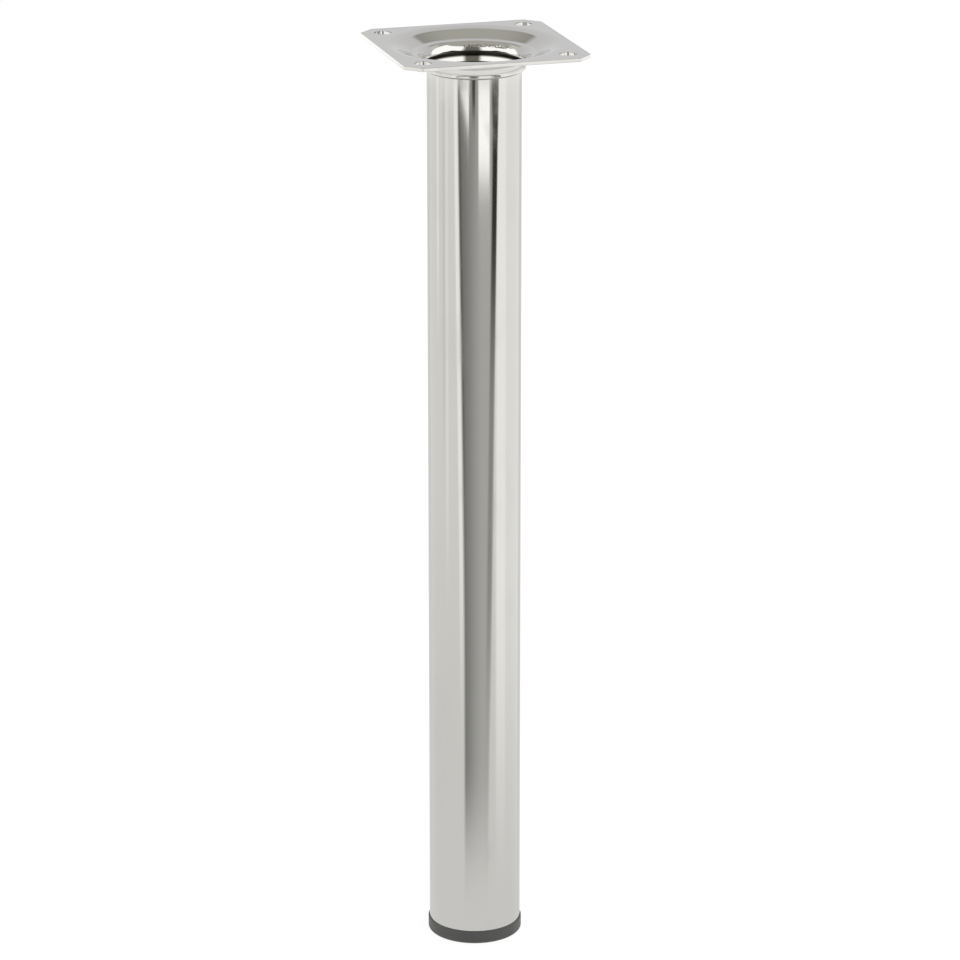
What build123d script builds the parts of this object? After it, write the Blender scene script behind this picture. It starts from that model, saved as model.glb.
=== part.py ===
from build123d import *
import math
import os

# Chromed furniture leg, in millimetres, +Z up, with the origin at the middle of the foot's underside.
# A pressed sheet-steel plate carries a round tube in its drawn collar, a brazed ring joins the two,
# and a black plastic cap, held by a ribbed plug, closes the tube at the floor.

# Overall height, from the floor to the plate's upper face
leg_height = 300.0

# Round tube; its upper mouth is reamed to a slight taper that leaves a thin land at the end
tube_diameter = 30.0
tube_wall = 1.0
tube_end_break = 0.1
mouth_land = 0.05
mouth_height = 1.85

# Mounting plate: square sheet with cut corners and four punched screw holes
plate_side = 60.0
plate_thickness = 1.2
corner_cut = 4.7
plate_edge_break = 0.2
screw_hole_diameter = 5.5
screw_hole_inset = 6.75

# Dish pressed down into the plate, measured on its upper face: its rim lies a margin inside the
# plate's sides, and a cone, a level ledge and the drawn collar with its round lip follow inwards
collar_clearance = 0.05
collar_height = 4.9
ledge_width = 4.6
cone_drop = 2.8
rim_margin = 4.05
flat_margin = 0.8
rim_bend = 4.0
shoulder_bend = 1.0
lip_bend = 4.2
lip_flats = 4

# Tube's seat in the collar, and the brazed ring under the collar's edge
tube_insertion = 0.8
braze_height = 0.7

# Foot cap: the flange that shows under the tube
foot_height = 4.4
foot_overhang = 0.4
foot_floor = 2.0
foot_bottom_bevel = 0.7
foot_top_bevel = 0.3

# Foot cap: the hollow plug inside the tube, with barbed ribs and crossed webs
plug_height = 12.0
plug_gap = 1.0
plug_wall = 1.6
plug_lead = 0.8
rib_count = 3
rib_start = 1.4
web_thickness = 1.4
web_setback = 1.5

# Sizes that follow from the values above
tube_radius = tube_diameter / 2
bore_radius = tube_radius - tube_wall
collar_radius = tube_radius + collar_clearance
shoulder_radius = collar_radius + ledge_width
rim_radius = plate_side / 2 - rim_margin
cone_width = rim_radius - shoulder_radius
ledge_level = leg_height - cone_drop
collar_edge_level = ledge_level - collar_height
tube_top_level = collar_edge_level + tube_insertion
mouth_radius = tube_radius - tube_end_break - mouth_land
cone_angle = math.atan2(cone_drop, cone_width)
dish_radius = rim_radius + rim_bend * math.tan(cone_angle / 2) + flat_margin
screw_hole_pitch = plate_side - 2 * screw_hole_inset
foot_radius = tube_radius + foot_overhang
stem_radius = bore_radius - plug_gap
stem_bore_radius = stem_radius - plug_wall
plug_top_level = foot_height + plug_height
rib_pitch = (plug_height - rib_start - plug_lead) / rib_count


def turned(section):
    """A solid of revolution about Z from a half section drawn as (radius, height)."""
    return revolve(Plane.XZ * section, Axis.Z)


def lip_points():
    """Corners of the short flats that round the lip from the ledge down into the collar."""
    turn = math.pi / 2 / lip_flats
    reach = lip_bend / math.cos(turn / 2)
    points = []
    for number in range(lip_flats):
        slope = turn * (number + 0.5)
        radius = collar_radius + lip_bend - reach * math.sin(slope)
        points.append((radius, ledge_level - lip_bend + reach * math.cos(slope)))
    return points


def dish():
    """The pressed dish: one bent line, thickened to the sheet and turned about Z."""
    upper_line = FilletPolyline(
        (dish_radius, leg_height),
        (rim_radius, leg_height),
        (shoulder_radius, ledge_level),
        *lip_points(),
        (collar_radius, collar_edge_level),
        radius=[rim_bend, shoulder_bend] + [0] * lip_flats,
    )
    return turned(make_face(offset(upper_line, plate_thickness, side=Side.LEFT, closed=True)))


def flat_sheet():
    """The flat square around the dish, with its cut corners and broken edges."""
    outline = chamfer(Rectangle(plate_side, plate_side).vertices(), corner_cut)
    sheet = extrude(Plane.XY.offset(leg_height) * outline, -plate_thickness)
    levels = sheet.edges().filter_by(Plane.XY).group_by(Axis.Z)
    sheet = chamfer(levels[0] + levels[-1], plate_edge_break)
    return sheet - downward_cylinder(dish_radius)


def downward_cylinder(radius):
    """A cylinder about Z that reaches from the plate's upper face down through the sheet."""
    cylinder = Cylinder(radius, plate_thickness, align=(Align.CENTER, Align.CENTER, Align.MAX))
    return Plane.XY.offset(leg_height) * cylinder


def mounting_plate():
    """One pressed piece: the sheet runs into the dish and its collar, and the holes are punched last."""
    plate = flat_sheet() + dish()
    punch = downward_cylinder(screw_hole_diameter / 2)
    for place in GridLocations(screw_hole_pitch, screw_hole_pitch, 2, 2):
        plate -= place * punch
    return plate


def tube():
    """Straight thin-walled tube, from the foot's flange up into the collar, with a reamed mouth."""
    outline = Polyline(
        (bore_radius, foot_height + tube_end_break),
        (bore_radius + tube_end_break, foot_height),
        (tube_radius - tube_end_break, foot_height),
        (tube_radius, foot_height + tube_end_break),
        (tube_radius, tube_top_level - tube_end_break),
        (tube_radius - tube_end_break, tube_top_level),
        (mouth_radius, tube_top_level),
        (bore_radius, tube_top_level - mouth_height),
        close=True,
    )
    return turned(make_face(outline))


def braze_ring():
    """Dressed fillet of braze metal in the corner between the collar's end face and the tube."""
    outline = Polyline(
        (tube_radius, collar_edge_level),
        (collar_radius + plate_thickness, collar_edge_level),
        (tube_radius, collar_edge_level - braze_height),
        close=True,
    )
    return turned(make_face(outline))


def rib_points(number):
    """Barbed rib: a square shoulder out to the bore, from which a slope runs up to the next rib's root."""
    base = foot_height + rib_start + number * rib_pitch
    return [(stem_radius, base), (bore_radius, base)]


def outermost_circle(solid, level):
    """The widest circular edge of a turned solid at one level."""
    circles = solid.edges().filter_by(GeomType.CIRCLE).filter_by_position(Axis.Z, level, level)
    return circles.sort_by(SortBy.RADIUS)[-1]


def foot_cap():
    """Moulded cap: flange under the tube, hollow ribbed plug inside it, and crossed webs in the plug."""
    points = [(0, 0), (foot_radius, 0), (foot_radius, foot_height), (stem_radius, foot_height)]
    for number in range(rib_count):
        points += rib_points(number)
    points += [
        (stem_radius, plug_top_level - plug_lead),
        (stem_radius - plug_lead, plug_top_level),
        (stem_bore_radius, plug_top_level),
        (stem_bore_radius, foot_floor),
        (0, foot_floor),
    ]
    cap = turned(make_face(Polyline(*points, close=True)))
    cap = chamfer(outermost_circle(cap, 0), foot_bottom_bevel)
    cap = chamfer(outermost_circle(cap, foot_height), foot_top_bevel)
    web_height = plug_top_level - web_setback - foot_floor
    web = Box(2 * stem_bore_radius, web_thickness, web_height, align=(Align.CENTER, Align.CENTER, Align.MIN))
    web = Pos(0, 0, foot_floor) * web
    bore = Pos(0, 0, foot_floor) * Cylinder(
        stem_bore_radius, web_height, align=(Align.CENTER, Align.CENTER, Align.MIN)
    )
    webs = (web + Rot(0, 0, 90) * web) & bore
    return cap + webs


def main():
    """Write one solid for each physical piece."""
    os.makedirs("parts", exist_ok=True)
    pieces = {
        "mounting_plate": mounting_plate(),
        "tube": tube(),
        "braze_ring": braze_ring(),
        "foot_cap": foot_cap(),
    }
    for name, shape in pieces.items():
        export_step(shape, f"parts/{name}.step")


main()
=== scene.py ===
"""Looks of a chromed furniture leg: pressed plate, round tube, brazed ring and black moulded foot."""

import cmath
import math

import bmesh
import bpy
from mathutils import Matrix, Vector, noise


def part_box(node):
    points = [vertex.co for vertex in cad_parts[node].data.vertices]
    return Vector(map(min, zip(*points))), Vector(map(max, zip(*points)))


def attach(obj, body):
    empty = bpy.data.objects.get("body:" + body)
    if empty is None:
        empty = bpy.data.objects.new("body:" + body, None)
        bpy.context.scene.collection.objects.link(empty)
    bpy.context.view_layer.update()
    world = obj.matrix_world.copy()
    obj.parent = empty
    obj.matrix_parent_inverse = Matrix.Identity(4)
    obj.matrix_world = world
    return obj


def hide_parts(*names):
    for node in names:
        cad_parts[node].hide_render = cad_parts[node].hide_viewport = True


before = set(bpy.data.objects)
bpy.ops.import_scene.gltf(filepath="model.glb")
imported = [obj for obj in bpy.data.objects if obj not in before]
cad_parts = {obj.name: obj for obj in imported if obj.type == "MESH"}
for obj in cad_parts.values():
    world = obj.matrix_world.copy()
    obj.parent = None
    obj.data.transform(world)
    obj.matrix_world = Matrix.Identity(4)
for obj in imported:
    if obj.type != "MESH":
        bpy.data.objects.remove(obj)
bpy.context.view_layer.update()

mm = 0.001

# Places and sizes read from the frame
plate_low, plate_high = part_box("mounting_plate")
tube_low, tube_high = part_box("tube")
ring_low, ring_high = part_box("braze_ring")
foot_low, foot_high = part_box("foot_cap")
plate_top = plate_high.z
plate_side = plate_high.x - plate_low.x
collar_edge_level = plate_low.z
tube_radius = tube_high.x
tube_top_level = tube_high.z
flange_top = tube_low.z
ring_radius = ring_high.x
foot_radius = foot_high.x
plug_top = foot_high.z

# Pressed plate
plate_thickness = 1.2 * mm
corner_cut = 4.7 * mm
corner_round = 0.5 * mm
edge_roll = 0.1 * mm
lower_edge_round = 0.04 * mm
hole_radius = 2.75 * mm
hole_inset = 6.75 * mm
hole_roll = 0.05 * mm
flat_support = 0.12 * mm

# Dish, measured on its upper face
collar_clearance = 0.05 * mm
ledge_width = 4.6 * mm
cone_drop = 2.8 * mm
rim_margin = 4.05 * mm
rim_bend = 11.0 * mm
shoulder_bend = 1.0 * mm
lip_bend = 4.2 * mm
flat_margin = 0.3 * mm
press_waviness = 0.02 * mm
press_wave_length = 9.0 * mm

# Tube
tube_wall = 1.0 * mm
tube_end_round = 0.05 * mm
mouth_land = 0.02 * mm
mouth_height = 1.85 * mm
mouth_round = 0.5 * mm
tube_ring_step = 4.5 * mm
weld_seam_height = 0.12 * mm
weld_seam_width = math.radians(3.5)
weld_seam_angle = math.radians(205)
draw_waviness = 0.004 * mm
draw_wave_length = 14.0 * mm
draw_wave_stretch = 6.0

# Brazed ring
braze_hollow = 0.16 * mm
braze_ripple = 0.006 * mm
braze_ripple_length = 2.6 * mm

# Foot cap
foot_bottom_round = 0.8 * mm
foot_top_round = 0.3 * mm
foot_floor = 2.0 * mm
plug_gap = 1.0 * mm
plug_wall = 1.6 * mm
plug_lead = 0.8 * mm
rib_count = 3
rib_start = 1.4 * mm
moulded_round = 0.12 * mm
web_thickness = 1.4 * mm
web_setback = 1.5 * mm

# Sizes that follow
bore_radius = tube_radius - tube_wall
collar_radius = tube_radius + collar_clearance
shoulder_radius = collar_radius + ledge_width
rim_radius = plate_side / 2 - rim_margin
cone_angle = math.atan2(cone_drop, rim_radius - shoulder_radius)
dish_radius = rim_radius + rim_bend * math.tan(cone_angle / 2) + flat_margin
hole_offset = plate_side / 2 - hole_inset
stem_radius = bore_radius - plug_gap
stem_bore_radius = stem_radius - plug_wall
rib_pitch = (plug_top - flange_top - rib_start - plug_lead) / rib_count

turn_segments = 288
hole_segments = 72
corner_steps = 6
rolled_edge_steps = 8
lower_edge_steps = 3
fillet_steps = 12
web_edge_steps = 6
bend_step = math.radians(2.5)
shortest_step = 0.03 * mm
support_gap = 0.08 * mm


# Half sections: a point is a complex number, radius + height * 1j

def direction(start, end):
    """Unit step from one point of a section towards another."""
    return (end - start) / abs(end - start)


def straight(start, end, longest):
    """Points from a start up to an end that is left out, with a supporting point near each end."""
    length = abs(end - start)
    heading = direction(start, end)
    gap = min(support_gap, length / 4)
    points = [start, start + heading * gap]
    parts = max(2, math.ceil(length / longest))
    for number in range(1, parts):
        points.append(start + heading * (length * number / parts))
    points.append(end - heading * gap)
    return [(point, heading) for point in points]


def bend(before, corner, after, radius):
    """Points of an arc that rounds a corner, from its first tangent point to its last."""
    heading = direction(before, corner)
    turn = cmath.phase(direction(corner, after) / heading)
    reach = radius * math.tan(abs(turn) / 2)
    start = corner - heading * reach
    centre = start + heading * 1j * math.copysign(radius, turn)
    steps = max(4, min(math.ceil(abs(turn) / bend_step), math.ceil(abs(turn) * radius / shortest_step)))
    points = []
    for step in range(steps + 1):
        swing = cmath.rect(1, turn * step / steps)
        points.append((centre + (start - centre) * swing, heading * swing))
    return points


def bent_line(corners, radii, longest=1.5 * mm):
    """An open section line with rounded corners, as (point, heading) pairs."""
    line = []
    start = corners[0]
    for number, radius in enumerate(radii):
        arc = bend(corners[number], corners[number + 1], corners[number + 2], radius)
        line += straight(start, arc[0][0], longest) + arc[:-1]
        start = arc[-1][0]
    line += straight(start, corners[-1], longest)
    line.append((corners[-1], direction(start, corners[-1])))
    return line


def rounded_loop(corners, radii, longest=1.5 * mm):
    """A closed section with rounded corners, as a list of points."""
    count = len(corners)
    arcs = []
    for number, radius in enumerate(radii):
        arcs.append(bend(corners[number - 1], corners[number], corners[(number + 1) % count], radius))
    points = []
    for arc, following in zip(arcs, arcs[1:] + arcs[:1]):
        points += arc[:-1] + straight(arc[-1][0], following[0][0], longest)
    return [point for point, heading in points]


# Meshes

def level_ring(mesh, point, move=None):
    """A closed ring of vertices about Z; move(x, y, z) may shift each one along its radius and height."""
    ring = []
    for number in range(turn_segments):
        angle = math.tau * number / turn_segments
        radius, height = point.real, point.imag
        if move:
            shift = move(radius * math.cos(angle), radius * math.sin(angle), height)
            radius += shift.real
            height += shift.imag
        ring.append(mesh.verts.new((radius * math.cos(angle), radius * math.sin(angle), height)))
    return ring


def skin_between(mesh, first, second):
    """Four-sided faces between two closed rings with the same number of vertices."""
    for number in range(len(first)):
        mesh.faces.new((first[number - 1], first[number], second[number], second[number - 1]))


def skin_along(mesh, rings):
    """Faces along a row of rings."""
    for first, second in zip(rings, rings[1:]):
        skin_between(mesh, first, second)


def close_with_fan(mesh, ring):
    """Closes a level ring with triangles to its middle."""
    middle = mesh.verts.new((0.0, 0.0, ring[0].co.z))
    for number in range(len(ring)):
        mesh.faces.new((ring[number - 1], ring[number], middle))


def edges_of(mesh, ring):
    """The edges that run once round a ring."""
    edges = []
    for number in range(len(ring)):
        pair = (ring[number - 1], ring[number])
        edges.append(mesh.edges.get(pair) or mesh.edges.new(pair))
    return edges


def piece_from(mesh, name):
    """Turns a finished mesh into a smooth object in the scene."""
    bmesh.ops.recalc_face_normals(mesh, faces=mesh.faces)
    data = bpy.data.meshes.new(name)
    mesh.to_mesh(data)
    mesh.free()
    data.polygons.foreach_set("use_smooth", [True] * len(data.polygons))
    piece = bpy.data.objects.new(name, data)
    bpy.context.scene.collection.objects.link(piece)
    return piece


def turned_piece(name, sections):
    """One object from closed sections, each with its own function that moves the vertices, or None."""
    mesh = bmesh.new()
    for points, move in sections:
        rings = [level_ring(mesh, point, move) for point in points]
        skin_along(mesh, rings + rings[:1])
    return piece_from(mesh, name)


def soft_noise(x, y, z, length, stretch=1.0):
    """Smooth noise between about -1 and 1, with waves of the given length, longer along Z if stretched."""
    return noise.noise(Vector((x / length, y / length, z / length / stretch)))


# Pressed plate

def outline_points(inset):
    """The plate's outline seen from above, moved inwards, with a small round at each of its eight corners."""
    half_side = plate_side / 2
    cut_distance = (plate_side - corner_cut) / math.sqrt(2)
    points = []
    for number in range(8):
        turn = math.radians(45 * number)
        distance = half_side if number % 2 == 0 else cut_distance
        next_distance = cut_distance if number % 2 == 0 else half_side
        along = next_distance - corner_round - (distance - corner_round) * math.cos(math.pi / 4)
        along /= math.sin(math.pi / 4)
        centre = cmath.rect(1, turn) * complex(distance - corner_round, along)
        for step in range(corner_steps + 1):
            arm = cmath.rect(corner_round - inset, turn + math.radians(45 * step / corner_steps))
            points.append(centre + arm)
    return points


def hole_points(centre, radius):
    """A circle round one screw hole, seen from above."""
    return [centre + cmath.rect(radius, math.tau * number / hole_segments) for number in range(hole_segments)]


def edge_rings(mesh, points_at, roll, lower_round):
    """Rings down a cut edge of the sheet: the rolled upper edge, the cut face and the lower edge.

    points_at(inset) gives the ring's points, moved into the metal by the inset.
    """
    places = [(roll + flat_support, 0.0)]
    for step in range(rolled_edge_steps + 1):
        angle = math.radians(90 * step / rolled_edge_steps)
        places.append((roll * (1 - math.sin(angle)), roll * (1 - math.cos(angle))))
    places.append((0.0, roll + support_gap))
    places.append((0.0, plate_thickness - lower_round - support_gap))
    for step in range(lower_edge_steps + 1):
        angle = math.radians(90 * step / lower_edge_steps)
        depth = plate_thickness - lower_round * (1 - math.sin(angle))
        places.append((lower_round * (1 - math.cos(angle)), depth))
    places.append((lower_round + flat_support, plate_thickness))
    rings = []
    for inset, depth in places:
        rings.append([mesh.verts.new((p.real, p.imag, plate_top - depth)) for p in points_at(inset)])
    skin_along(mesh, rings)
    return rings[0], rings[-1]


def press_mark(x, y, z):
    """Slight unevenness of the pressed dish, which dies out towards the flat sheet and the collar."""
    radius = math.hypot(x, y)
    outwards = min(1.0, max(0.0, (dish_radius - radius) / (2 * mm)))
    inwards = min(1.0, max(0.0, (radius - collar_radius) / (1 * mm)))
    wave = soft_noise(x, y, 0.0, press_wave_length) + 0.4 * soft_noise(x, y, 5.0, press_wave_length / 3)
    return complex(0.0, press_waviness * wave * outwards * inwards)


def pressed_plate():
    """Flat sheet with rolled edges and punched holes, and the dish that runs down into the collar."""
    mesh = bmesh.new()
    corners = [
        complex(dish_radius + flat_support, plate_top),
        complex(rim_radius, plate_top),
        complex(shoulder_radius, plate_top - cone_drop),
        complex(collar_radius, plate_top - cone_drop),
        complex(collar_radius, collar_edge_level),
    ]
    upper = bent_line(corners, [rim_bend, shoulder_bend, lip_bend])
    points = [point for point, heading in upper]
    points += [point + heading * 1j * plate_thickness for point, heading in reversed(upper)]
    rings = [level_ring(mesh, point, press_mark) for point in points]
    skin_along(mesh, rings)
    upper_loops = [rings[0]]
    lower_loops = [rings[-1]]
    edges = [outline_points]
    for quarter in range(4):
        centre = complex(hole_offset, hole_offset) * 1j**quarter
        edges.append(lambda inset, centre=centre: hole_points(centre, hole_radius + inset))
    rolls = [edge_roll] + [hole_roll] * 4
    for points_at, roll in zip(edges, rolls):
        top_ring, bottom_ring = edge_rings(mesh, points_at, roll, lower_edge_round)
        upper_loops.append(top_ring)
        lower_loops.append(bottom_ring)
    for loops in (upper_loops, lower_loops):
        borders = [edge for loop in loops for edge in edges_of(mesh, loop)]
        bmesh.ops.triangle_fill(mesh, use_beauty=True, use_dissolve=False, edges=borders)
    return piece_from(mesh, "pressed_plate")


# Tube, brazed ring and foot

def draw_mark(x, y, z):
    """Slight waviness that drawing and polishing leave along the tube."""
    wave = soft_noise(x, y, z, draw_wave_length, draw_wave_stretch)
    return complex(draw_waviness * wave, 0.0)


def tube_wall_mark(x, y, z):
    """Waviness outside, and the scarfed weld seam that runs down inside the bore."""
    radius = math.hypot(x, y)
    if radius > tube_radius - 0.3 * tube_wall:
        return draw_mark(x, y, z)
    off_seam = cmath.phase(cmath.rect(1, math.atan2(y, x) - weld_seam_angle))
    bead = math.exp(-((off_seam / weld_seam_width) ** 2))
    below_mouth = min(1.0, max(0.0, (tube_top_level - mouth_height - z) / mouth_height))
    return complex(-weld_seam_height * bead * below_mouth, 0.0)


def bright_tube():
    """Straight tube with rounded ends and a reamed mouth."""
    corners = [
        complex(tube_radius, flange_top),
        complex(tube_radius, tube_top_level),
        complex(tube_radius - tube_end_round - mouth_land, tube_top_level),
        complex(bore_radius, tube_top_level - mouth_height),
        complex(bore_radius, flange_top),
    ]
    radii = [tube_end_round, tube_end_round, 0.03 * mm, mouth_round, tube_end_round]
    section = rounded_loop(corners, radii, tube_ring_step)
    return turned_piece("bright_tube", [(section, tube_wall_mark)])


def braze_mark(x, y, z):
    """Soft ripples left by dressing the braze metal, which die out at the collar and the tube."""
    depth = (collar_edge_level - z) / (collar_edge_level - ring_low.z)
    swell = max(0.0, 4 * depth * (1 - depth))
    wave = soft_noise(x, y, z, braze_ripple_length) - 0.4
    return complex(braze_ripple * wave * swell, 0.0)


def brazed_fillet():
    """Hollow fillet of braze metal between the collar's end face and the tube."""
    outer = complex(ring_radius, collar_edge_level)
    foot = complex(tube_radius, ring_low.z)
    middle = (outer + foot) / 2 - direction(outer, foot) * 1j * braze_hollow
    section = [complex(tube_radius, collar_edge_level)]
    pull = 2 * middle - (outer + foot) / 2
    for step in range(fillet_steps + 1):
        share = step / fillet_steps
        section.append(outer * (1 - share) ** 2 + pull * 2 * share * (1 - share) + foot * share**2)
    return turned_piece("brazed_fillet", [(section, braze_mark)])


def foot_section():
    """Flange under the tube and hollow plug with barbed ribs, as corners and their rounds."""
    corners = [
        (complex(foot_radius, 0.0), foot_bottom_round),
        (complex(foot_radius, flange_top), foot_top_round),
        (complex(stem_radius, flange_top), moulded_round),
    ]
    for number in range(rib_count):
        base = flange_top + rib_start + number * rib_pitch
        corners.append((complex(stem_radius, base), moulded_round))
        corners.append((complex(bore_radius, base), moulded_round))
    corners += [
        (complex(stem_radius, plug_top - plug_lead), moulded_round),
        (complex(stem_radius - plug_lead, plug_top), moulded_round),
        (complex(stem_bore_radius, plug_top), moulded_round),
        (complex(stem_bore_radius, foot_floor), moulded_round),
    ]
    return corners


def moulded_foot():
    """The whole cap: turned flange and plug, closed by a floor, with two crossed webs inside."""
    mesh = bmesh.new()
    corners = foot_section()
    # the line starts and ends half way in, and a fan closes each end
    start = complex(foot_radius / 2, 0.0)
    end = complex(stem_bore_radius / 2, foot_floor)
    places = [start] + [corner for corner, radius in corners] + [end]
    line = bent_line(places, [radius for corner, radius in corners])
    rings = [level_ring(mesh, point) for point, heading in line]
    skin_along(mesh, rings)
    close_with_fan(mesh, rings[0])
    close_with_fan(mesh, rings[-1])
    for quarter in range(2):
        add_web(mesh, quarter * math.pi / 2)
    return piece_from(mesh, "moulded_foot")


def add_web(mesh, turn):
    """One upright web across the plug's hollow, with softened upper edges."""
    half_length = stem_bore_radius + plug_wall / 3
    half_width = web_thickness / 2
    bottom = foot_floor - foot_floor / 4
    arc_level = plug_top - web_setback - moulded_round
    across = [(-half_width, bottom)]
    for step in range(web_edge_steps + 1):
        angle = math.radians(180 - 180 * step / web_edge_steps)
        side = -1 if step <= web_edge_steps / 2 else 1
        offset = side * (half_width - moulded_round) + moulded_round * math.cos(angle)
        across.append((offset, arc_level + moulded_round * math.sin(angle)))
    across.append((half_width, bottom))
    ends = []
    for reach in (-half_length, half_length):
        corners = []
        for offset, height in across:
            place = cmath.rect(1, turn) * complex(reach, offset)
            corners.append(mesh.verts.new((place.real, place.imag, height)))
        ends.append(corners)
    for number in range(len(across)):
        mesh.faces.new((ends[0][number - 1], ends[0][number], ends[1][number], ends[1][number - 1]))
    for corners in ends:
        mesh.faces.new(corners)


# Shader maths

class Wire:
    """One socket of a node tree. Arithmetic on it adds Math nodes, and make() adds any other node."""

    def __init__(self, tree, socket=None):
        self.tree = tree
        self.socket = socket

    def make(self, kind, settings=None, inputs=None, output=0):
        """Adds a node of a type: its settings first, then the values or links of its sockets."""
        node = self.tree.nodes.new(kind)
        for name, value in (settings or {}).items():
            setattr(node, name, value)
        for name, value in (inputs or {}).items():
            if isinstance(value, Wire):
                self.tree.links.new(value.socket, node.inputs[name])
            else:
                node.inputs[name].default_value = value
        return Wire(self.tree, node.outputs[output] if len(node.outputs) else None)

    def math(self, operation, *values, clamp=False):
        inputs = dict(enumerate(values))
        return self.make("ShaderNodeMath", {"operation": operation, "use_clamp": clamp}, inputs)

    def __add__(self, other):
        return self.math("ADD", self, other)

    def __radd__(self, other):
        return self.math("ADD", other, self)

    def __sub__(self, other):
        return self.math("SUBTRACT", self, other)

    def __rsub__(self, other):
        return self.math("SUBTRACT", other, self)

    def __mul__(self, other):
        return self.math("MULTIPLY", self, other)

    def __rmul__(self, other):
        return self.math("MULTIPLY", other, self)

    def __truediv__(self, other):
        return self.math("DIVIDE", self, other)

    def __pow__(self, other):
        return self.math("POWER", self, other)

    def clipped(self):
        return self.math("ADD", self, 0.0, clamp=True)

    def rise(self, start, end):
        """0 before the start, 1 after the end, with a smooth step between them."""
        limits = {"Value": self, "From Min": start, "From Max": end}
        return self.make("ShaderNodeMapRange", {"interpolation_type": "SMOOTHSTEP"}, limits)

    def part(self, name):
        """X, Y or Z of a vector."""
        return self.make("ShaderNodeSeparateXYZ", None, {"Vector": self}, name)

    def mixed(self, first, second):
        """Colour that goes from the first to the second as this value goes from 0 to 1."""
        settings = {"data_type": "RGBA", "clamp_factor": True}
        return self.make("ShaderNodeMix", settings, {0: self, 6: first, 7: second}, 2)


def between(value, limits, soft):
    """1 between two limits, with smooth edges centred on them."""
    low_wear_and_shade, high = limits
    return value.rise(low_wear_and_shade - soft / 2, low_wear_and_shade + soft / 2) * (1 - value.rise(high - soft / 2, high + soft / 2))


def object_place(start, stretch=(1.0, 1.0, 1.0)):
    """Position on the object in millimetres, scaled by the stretch."""
    place = start.make("ShaderNodeTexCoord", None, None, "Object")
    scale = tuple(1 / mm / length for length in stretch)
    return place.make("ShaderNodeMapping", None, {"Vector": place, "Scale": scale})


def blotches(start, length, detail=2.0, stretch=(1.0, 1.0, 1.0), roughness=0.5):
    """Noise between 0 and 1 whose features are about as long as given, in millimetres."""
    place = object_place(start, tuple(length * part for part in stretch))
    settings = {"Vector": place, "Scale": 1.0, "Detail": detail, "Roughness": roughness}
    return start.make("ShaderNodeTexNoise", {"normalize": True}, settings)


def finish_for(name):
    """An empty material with a wire to build from."""
    material = bpy.data.materials.new(name)
    material.use_nodes = True
    material.node_tree.nodes.clear()
    return material, Wire(material.node_tree)


def end_with(start, shader_inputs):
    """Adds the surface shader and the output."""
    shader = start.make("ShaderNodeBsdfPrincipled", None, shader_inputs)
    start.make("ShaderNodeOutputMaterial", None, {"Surface": shader})


def bumped(start, layers):
    """A chain of Bump nodes, each from (height, size in millimetres)."""
    normal = None
    for height, size in layers:
        inputs = {"Height": height, "Distance": size * mm, "Strength": 1.0}
        if normal:
            inputs["Normal"] = normal
        normal = start.make("ShaderNodeBump", None, inputs)
    return normal


chrome_colour = (0.612, 0.605, 0.588, 1.0)
# colour the bore turns towards, deeper down the tube
deep_bore_colour = (0.40, 0.375, 0.33, 1.0)
# painted shade for the dark corner where the tube's end meets the collar
corner_shade_colour = (0.05, 0.045, 0.035, 1.0)
rough_turn = math.radians(59)


def tube_chrome():
    """Bright chrome on drawn tube: fine lengthwise marks, faint smears, rougher and darker deeper in the
    bore, and painted dark shade on its top end.
    """
    material, start = finish_for("tube_chrome")
    place = start.make("ShaderNodeTexCoord", None, None, "Object")
    x, y, z = place.part("X"), place.part("Y"), place.part("Z")
    radius = (x * x + y * y) ** 0.5
    # the bore turns rougher and darker from 3 mm to 26 mm below the tube's top
    inside = 1 - radius.rise(bore_radius + 0.1 * mm, bore_radius + 0.3 * mm)
    depth = 1 - z.rise(tube_top_level - 26 * mm, tube_top_level - 3 * mm)
    dull = inside * depth
    smears = blotches(start, 9.0, 3.0, (1.0, 1.0, 2.4)).rise(0.52, 0.72)
    marks = blotches(start, 0.5, 2.0, (1.0, 1.0, 60.0))
    orange_peel = blotches(start, 2.2, 1.0, (1.0, 1.0, 3.0))
    colour = (smears * 0.35).mixed(chrome_colour, (0.575, 0.57, 0.556, 1.0))
    colour = dull.mixed(colour, deep_bore_colour)
    # painted shade: the tube's top end, hidden in the collar, is painted nearly black
    end_shade = z.rise(tube_top_level - 0.7 * mm, tube_top_level - 0.1 * mm)
    colour = end_shade.mixed(colour, corner_shade_colour)
    roughness = 0.035 + smears * 0.05 + marks * 0.02 + dull * 0.35
    normal = bumped(start, [(orange_peel, 0.0012), (marks, 0.00015)])
    end_with(start, {"Base Color": colour, "Metallic": 1.0, "Roughness": roughness, "Normal": normal})
    return material


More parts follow.
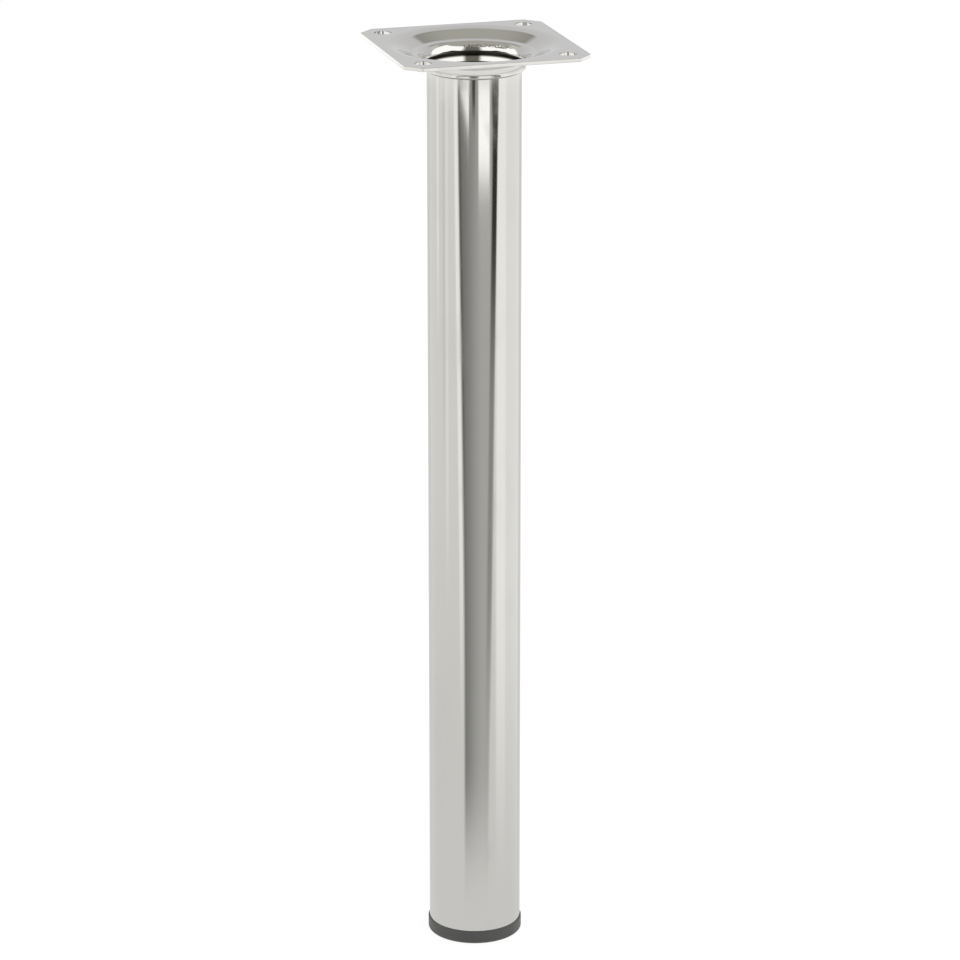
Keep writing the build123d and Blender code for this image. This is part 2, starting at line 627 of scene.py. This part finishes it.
def plate_chrome():
    """Bright chrome on pressed sheet, pitted round the drawn lip, with painted dark shade in the corner below
    it.
    """
    material, start = finish_for("plate_chrome")
    place = start.make("ShaderNodeTexCoord", None, None, "Object")
    x, y, z = place.part("X"), place.part("Y"), place.part("Z")
    radius = (x * x + y * y) ** 0.5
    off_collar = (radius - collar_radius) / mm
    depth = (plate_top - z) / mm
    drawn = between(off_collar, (0.75, 1.35), 0.2) * (1 - depth.rise(4.6, 4.9))
    # the roughest part of the lip lies round one direction
    rough_side = (x * math.cos(rough_turn) + y * math.sin(rough_turn)) / radius
    crowd = rough_side.rise(0.84, 0.93) * 0.22
    pits = (blotches(start, 0.55, 3.0) + crowd).rise(0.67, 0.76) * drawn
    # painted shade: the corner between the collar and the tube's end is painted nearly black
    over_tube = (z - tube_top_level) / mm
    painted_corner_shade = (1 - off_collar.rise(0.45, 0.65)) * (1 - over_tube.rise(0.9, 1.2))
    waves = blotches(start, 12.0, 1.0)
    rolling = blotches(start, 0.6, 2.0, (18.0, 1.0, 1.0))
    smears = blotches(start, 8.0, 3.0).rise(0.55, 0.75)
    colour = (smears * 0.3).mixed(chrome_colour, (0.58, 0.575, 0.56, 1.0))
    colour = pits.mixed(colour, (0.16, 0.15, 0.12, 1.0))
    colour = painted_corner_shade.mixed(colour, corner_shade_colour)
    roughness = 0.04 + smears * 0.05 + rolling * 0.02 + pits * 0.3 + painted_corner_shade * 0.2
    normal = bumped(start, [(waves, 0.012), (rolling, 0.0002), (pits, 0.03)])
    end_with(start, {"Base Color": colour, "Metallic": 1.0, "Roughness": roughness, "Normal": normal})
    return material


def braze_chrome():
    """Chrome over dressed braze metal: rippled, with painted shadow darkening its lower part towards the
    tube.
    """
    material, start = finish_for("braze_chrome")
    ripples = blotches(start, 1.6, 3.0)
    pores = blotches(start, 0.5, 2.0).rise(0.74, 0.84)
    place = start.make("ShaderNodeTexCoord", None, None, "Object")
    # painted shadow: the ring's lower part, next to the tube, is painted darker
    low_wear_and_shade = 1 - place.part("Z").rise(ring_low.z + 0.1 * mm, ring_high.z - 0.1 * mm)
    colour = low_wear_and_shade.mixed((0.59, 0.583, 0.565, 1.0), (0.27, 0.262, 0.245, 1.0))
    colour = pores.mixed(colour, (0.25, 0.24, 0.22, 1.0))
    roughness = 0.06 + ripples * 0.05 + pores * 0.25
    normal = bumped(start, [(ripples, 0.003), (1 - pores, 0.002)])
    end_with(start, {"Base Color": colour, "Metallic": 1.0, "Roughness": roughness, "Normal": normal})
    return material


def foot_plastic():
    """Black moulded plastic with a fine eroded texture and slightly shinier rubbed edges."""
    material, start = finish_for("foot_plastic")
    place = start.make("ShaderNodeTexCoord", None, None, "Object")
    grain = blotches(start, 0.22, 3.0)
    flow = blotches(start, 6.0, 2.0, (1.0, 1.0, 0.5))
    low_wear_and_shade = 1 - place.part("Z").rise(0.3 * mm, 1.2 * mm)
    scuffs = blotches(start, 0.8, 3.0, (3.0, 3.0, 1.0)).rise(0.55, 0.7) * low_wear_and_shade
    colour = (flow * 0.5).mixed((0.070, 0.071, 0.069, 1.0), (0.084, 0.085, 0.082, 1.0))
    colour = scuffs.mixed(colour, (0.105, 0.105, 0.102, 1.0))
    roughness = 0.42 + flow * 0.08 - scuffs * 0.1
    normal = bumped(start, [(grain, 0.012), (flow, 0.01)])
    end_with(start, {"Base Color": colour, "Roughness": roughness, "Normal": normal})
    return material


# Pieces in place

def dress(piece, node, material):
    """The piece takes its material, stands for a node of the frame and rides with it."""
    piece.data.materials.append(material)
    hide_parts(node)
    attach(piece, "root")


dress(pressed_plate(), "mounting_plate", plate_chrome())
dress(bright_tube(), "tube", tube_chrome())
dress(brazed_fillet(), "braze_ring", braze_chrome())
dress(moulded_foot(), "foot_cap", foot_plastic())


# Camera

camera_data = bpy.data.cameras.new("camera")
camera_data.lens = 158.54
camera_data.sensor_width = 36.0
camera = bpy.data.objects.new("camera", camera_data)
camera.location = (-0.37105, -1.24291, 0.58088)
camera_turn = math.radians(-16.7)
camera.rotation_euler = (math.radians(90 - 18.117), 0.0, camera_turn)
bpy.context.scene.collection.objects.link(camera)
bpy.context.scene.camera = camera


# Studio: what the chrome sees, by direction from the object

softbox_white = (1.6, 1.59, 1.56)
line_white = (1.27, 1.26, 1.24, 1.0)
room_grey = (0.30, 0.30, 0.29)
room_black = (0.03, 0.03, 0.025)
ceiling_olive = (0.56, 0.555, 0.505, 1.0)

# Elevation, in degrees, of the table's nearer edge as the leg sees it
table_elevation = -12.0


def studio_panels():
    """Walls and lights of the studio, later ones in front of earlier ones.

    Each has a colour, its azimuth range and elevation range in degrees, and the widths of its soft edges.
    Azimuth 0 is the viewer's side and grows to the viewer's right; elevation 0 is level.
    """
    return [
        ("grey_side_of_room", room_grey, (-135, 135), (-9.8, 12), 6, 0.3),
        ("left_softbox", softbox_white, (-108, 6), (19.5, 61), 5, 2.5),
        ("right_softbox", softbox_white, (2, 122), (19.5, 61), 5, 2.5),
        ("left_softbox_side", softbox_white, (-122, -62), (12, 40), 8, 1.5),
        ("right_softbox_side", softbox_white, (62, 122), (12, 40), 8, 1.5),
        ("gap_between_softboxes", (0.21, 0.20, 0.17), (-17, 29), (19.5, 61), 16, 2.5),
    ]


def ceiling_over(start, colour, azimuth_from_back, elevation):
    """Olive ceiling. The white wall at the back reaches up into it, and it is darkest near that wall."""
    aside = start.math("ABSOLUTE", azimuth_from_back)
    lower_edge = 49.0 - aside.rise(8, 18) * 14.0
    mask = ((elevation - lower_edge) / 4.0 + 0.5).clipped()
    tint = elevation.rise(32, 58).mixed((0.40, 0.395, 0.355, 1.0), ceiling_olive)
    pale = between(aside, (27, 80), 8) * (1 - elevation.rise(46, 52))
    return mask.mixed(colour, pale.mixed(tint, (0.80, 0.79, 0.75, 1.0)))


def pale_room(azimuth, elevation):
    """Pale surroundings: brighter to the right of the table, a little darker low down and at the back."""
    down = table_elevation - elevation
    aside = azimuth.math("ABSOLUTE", azimuth)
    fading = 1 - down.rise(6.5, 12.0)
    below_table = down.rise(0.4, 0.6)
    colour = down.rise(5.0, 10.5).mixed((0.98, 0.98, 0.955, 1.0), (0.90, 0.90, 0.885, 1.0))
    colour = (azimuth.rise(50, 58) * fading).mixed(colour, (1.13, 1.12, 1.10, 1.0))
    colour = (between(azimuth, (57, 83), 8) * fading).mixed(colour, line_white)
    # faint lines on the left: azimuth range, how far down they end, and their level
    faint_lines = [((-104, -97), 3.5, 1.20), ((-84, -77), 5.5, 0.87), ((-75, -67), 7.0, 1.09)]
    for limits, finish, level in faint_lines:
        line = between(azimuth, limits, 5) * (1 - down.rise(finish - 1, finish + 1)) * below_table
        colour = line.mixed(colour, (level, level, level * 0.985, 1.0))
    colour = (between(aside, (140, 166), 14) * below_table).mixed(colour, (0.82, 0.82, 0.81, 1.0))
    colour = down.rise(16, 26).mixed(colour, (1.14, 1.14, 1.13, 1.0))
    return elevation.rise(-6, 0).mixed(colour, (0.765, 0.765, 0.775, 1.0))


def dark_wall_ahead(azimuth, elevation, colour):
    """Wall on the viewer's side, dark above. It rises a little towards its ends and then slopes down."""
    aside = azimuth.math("ABSOLUTE", azimuth)
    top = 26.0 + aside.rise(38, 56) * 3.0 - aside.rise(56, 76) * 6.0 - aside.rise(76, 100) * 11.0
    mask = ((top - elevation) / 1.2 + 0.5).clipped() * elevation.rise(7, 9) * (1 - aside.rise(100, 108))
    shade = elevation.rise(15, 20).mixed((*room_grey, 1.0), (*room_black, 1.0))
    return mask.mixed(colour, shade)


def bright_table_edge(azimuth, elevation, colour):
    """Thin bright strip on both sides just above the table, which upright faces of the plate show."""
    aside = azimuth.math("ABSOLUTE", azimuth)
    mask = between(aside, (9.5, 156), 4) * between(elevation, (-12.6, -9.8), 0.3)
    return mask.mixed(colour, (1.42, 1.41, 1.39, 1.0))


def studio_world():
    """White for the camera, a soft pale level for matt surfaces, and the painted studio for gloss."""
    world = bpy.data.worlds.new("studio")
    bpy.context.scene.world = world
    world.use_nodes = True
    world.node_tree.nodes.clear()
    start = Wire(world.node_tree)
    ray = start.make("ShaderNodeTexCoord", None, None, "Generated")
    x, y, z = ray.part("X"), ray.part("Y"), ray.part("Z")
    sine, cosine = math.sin(camera_turn), math.cos(camera_turn)
    towards_viewer = x * sine - y * cosine
    to_the_right = x * cosine + y * sine
    degree = 180 / math.pi
    azimuth = start.math("ARCTAN2", to_the_right, towards_viewer) * degree
    azimuth_from_back = start.math("ARCTAN2", to_the_right, towards_viewer * -1.0) * degree
    elevation = start.math("ARCSINE", z) * degree
    colour = ceiling_over(start, pale_room(azimuth, elevation), azimuth_from_back, elevation)
    for name, tint, around, up, soft_around, soft_up in studio_panels():
        mask = between(azimuth, around, soft_around) * between(elevation, up, soft_up)
        colour = mask.mixed(colour, (*tint, 1.0))
    colour = dark_wall_ahead(azimuth, elevation, colour)
    colour = bright_table_edge(azimuth, elevation, colour)
    colour = band_on_the_table(azimuth, elevation, colour)
    path = start.make("ShaderNodeLightPath", None, None, "Is Camera Ray")
    matt = start.make("ShaderNodeLightPath", None, None, "Is Diffuse Ray")
    seen = matt.mixed(colour, (0.80, 0.80, 0.80, 1.0))
    seen = path.mixed(seen, (1.0, 1.0, 1.0, 1.0))
    background = start.make("ShaderNodeBackground", None, {"Color": seen, "Strength": 1.0})
    start.make("ShaderNodeOutputWorld", None, {"Surface": background})


def band_on_the_table(azimuth, elevation, colour):
    """Grey band below the horizon on the viewer's side, with its dark edges and two white lights."""
    down = table_elevation - elevation
    # 0 as seen from the plate's level, 1 from the foot's
    low_share = down / 12.0
    left_edge = -43.5 + down.rise(-1, 9) * 15.5
    top_share = 1 - down.rise(0.9, 1.6)
    right_edge = 61.5 - low_share * 26.0 + top_share * 1.5
    edge_soft = 3.0 + low_share * 4.0
    from_left = azimuth - left_edge
    from_right = azimuth - right_edge
    below_edge = down.rise(0.5, 0.7)
    glint = from_left.rise(-11, -7) * (1 - from_left.rise(-2, 1)) * (1 - down.rise(6, 10)) * below_edge
    colour = glint.mixed(colour, line_white)
    inner = (from_left / edge_soft).clipped() * (from_right / edge_soft * -1.0).clipped()
    inner = inner * (1 - down.rise(9.9, 11.8)) * below_edge
    across = azimuth.rise(-34, 24)
    grey = across.mixed((0.25, 0.25, 0.24, 1.0), (0.58, 0.58, 0.56, 1.0))
    left_line = (1 - from_left.rise(5, 11)) * (1 - down.rise(4, 8)) * 0.8
    grey = left_line.mixed(grey, (0.13, 0.13, 0.12, 1.0))
    band = inner.mixed(colour, grey)
    strip = (from_right + top_share * 5.0).rise(-17, -10) * (1 - ((from_right + 1.5) / 3.0).clipped())
    strip = strip * below_edge * (1 - down.rise(2.4, 5.5) * 0.6) * (1 - down.rise(7, 10))
    band = strip.mixed(band, (0.04, 0.04, 0.035, 1.0))
    from_light = azimuth + 69.0 - down * 40.0
    left_light = from_light.rise(-2, 2) * (1 - azimuth.rise(-15, -11)) * (1 - down.rise(1.25, 1.5))
    right_light = between(azimuth, (10, 37), 4) * (1 - down.rise(1.7, 2.4))
    lights = left_light.math("MAXIMUM", left_light, right_light) * down.rise(0.72, 0.8)
    band = lights.mixed(band, (*softbox_white, 1.0))
    spot = between(azimuth, (-5, 2), 3) * between(down, (0.5, 1.15), 0.15)
    edge = between(azimuth, (-9, 7), 4) * between(down, (-0.5, 0.6), 0.2)
    dark_middle = spot.math("MAXIMUM", spot, edge)
    return dark_middle.mixed(band, (0.05, 0.05, 0.045, 1.0))


def table_floor():
    """Pale floor: white to the camera where nothing stands on it, with a faint contact shadow."""
    mesh = bmesh.new()
    reach = 8.0
    places = [(-reach, -reach), (reach, -reach), (reach, reach), (-reach, reach)]
    mesh.faces.new([mesh.verts.new((x, y, 0.0)) for x, y in places])
    floor = piece_from(mesh, "floor")
    material, start = finish_for("pale_floor")
    seen = start.make("ShaderNodeLightPath", None, None, "Is Camera Ray")
    tint = seen.mixed((0.80, 0.80, 0.80, 1.0), (0.16, 0.16, 0.16, 1.0))
    matt = start.make("ShaderNodeBsdfDiffuse", None, {"Color": tint})
    glow = start.make("ShaderNodeEmission", None, {"Color": (1.0, 1.0, 1.0, 1.0), "Strength": seen * 0.88})
    both = start.make("ShaderNodeAddShader", None, {0: matt, 1: glow})
    start.make("ShaderNodeOutputMaterial", None, {"Surface": both})
    floor.data.materials.append(material)
    floor.visible_glossy = False


def overhead_light():
    """One large soft lamp above, which gives the faint shadow under the foot."""
    lamp_data = bpy.data.lights.new("overhead", "AREA")
    lamp_data.shape = "SQUARE"
    lamp_data.size = 1.2
    lamp_data.energy = 6.0
    lamp = bpy.data.objects.new("overhead", lamp_data)
    lamp.location = (0.2, -0.3, 1.6)
    lamp.rotation_euler = (Vector((0.0, 0.0, 0.1)) - lamp.location).to_track_quat("-Z", "Y").to_euler()
    lamp.visible_glossy = False
    bpy.context.scene.collection.objects.link(lamp)


studio_world()
table_floor()
overhead_light()
bpy.context.scene.view_settings.view_transform = "Standard"
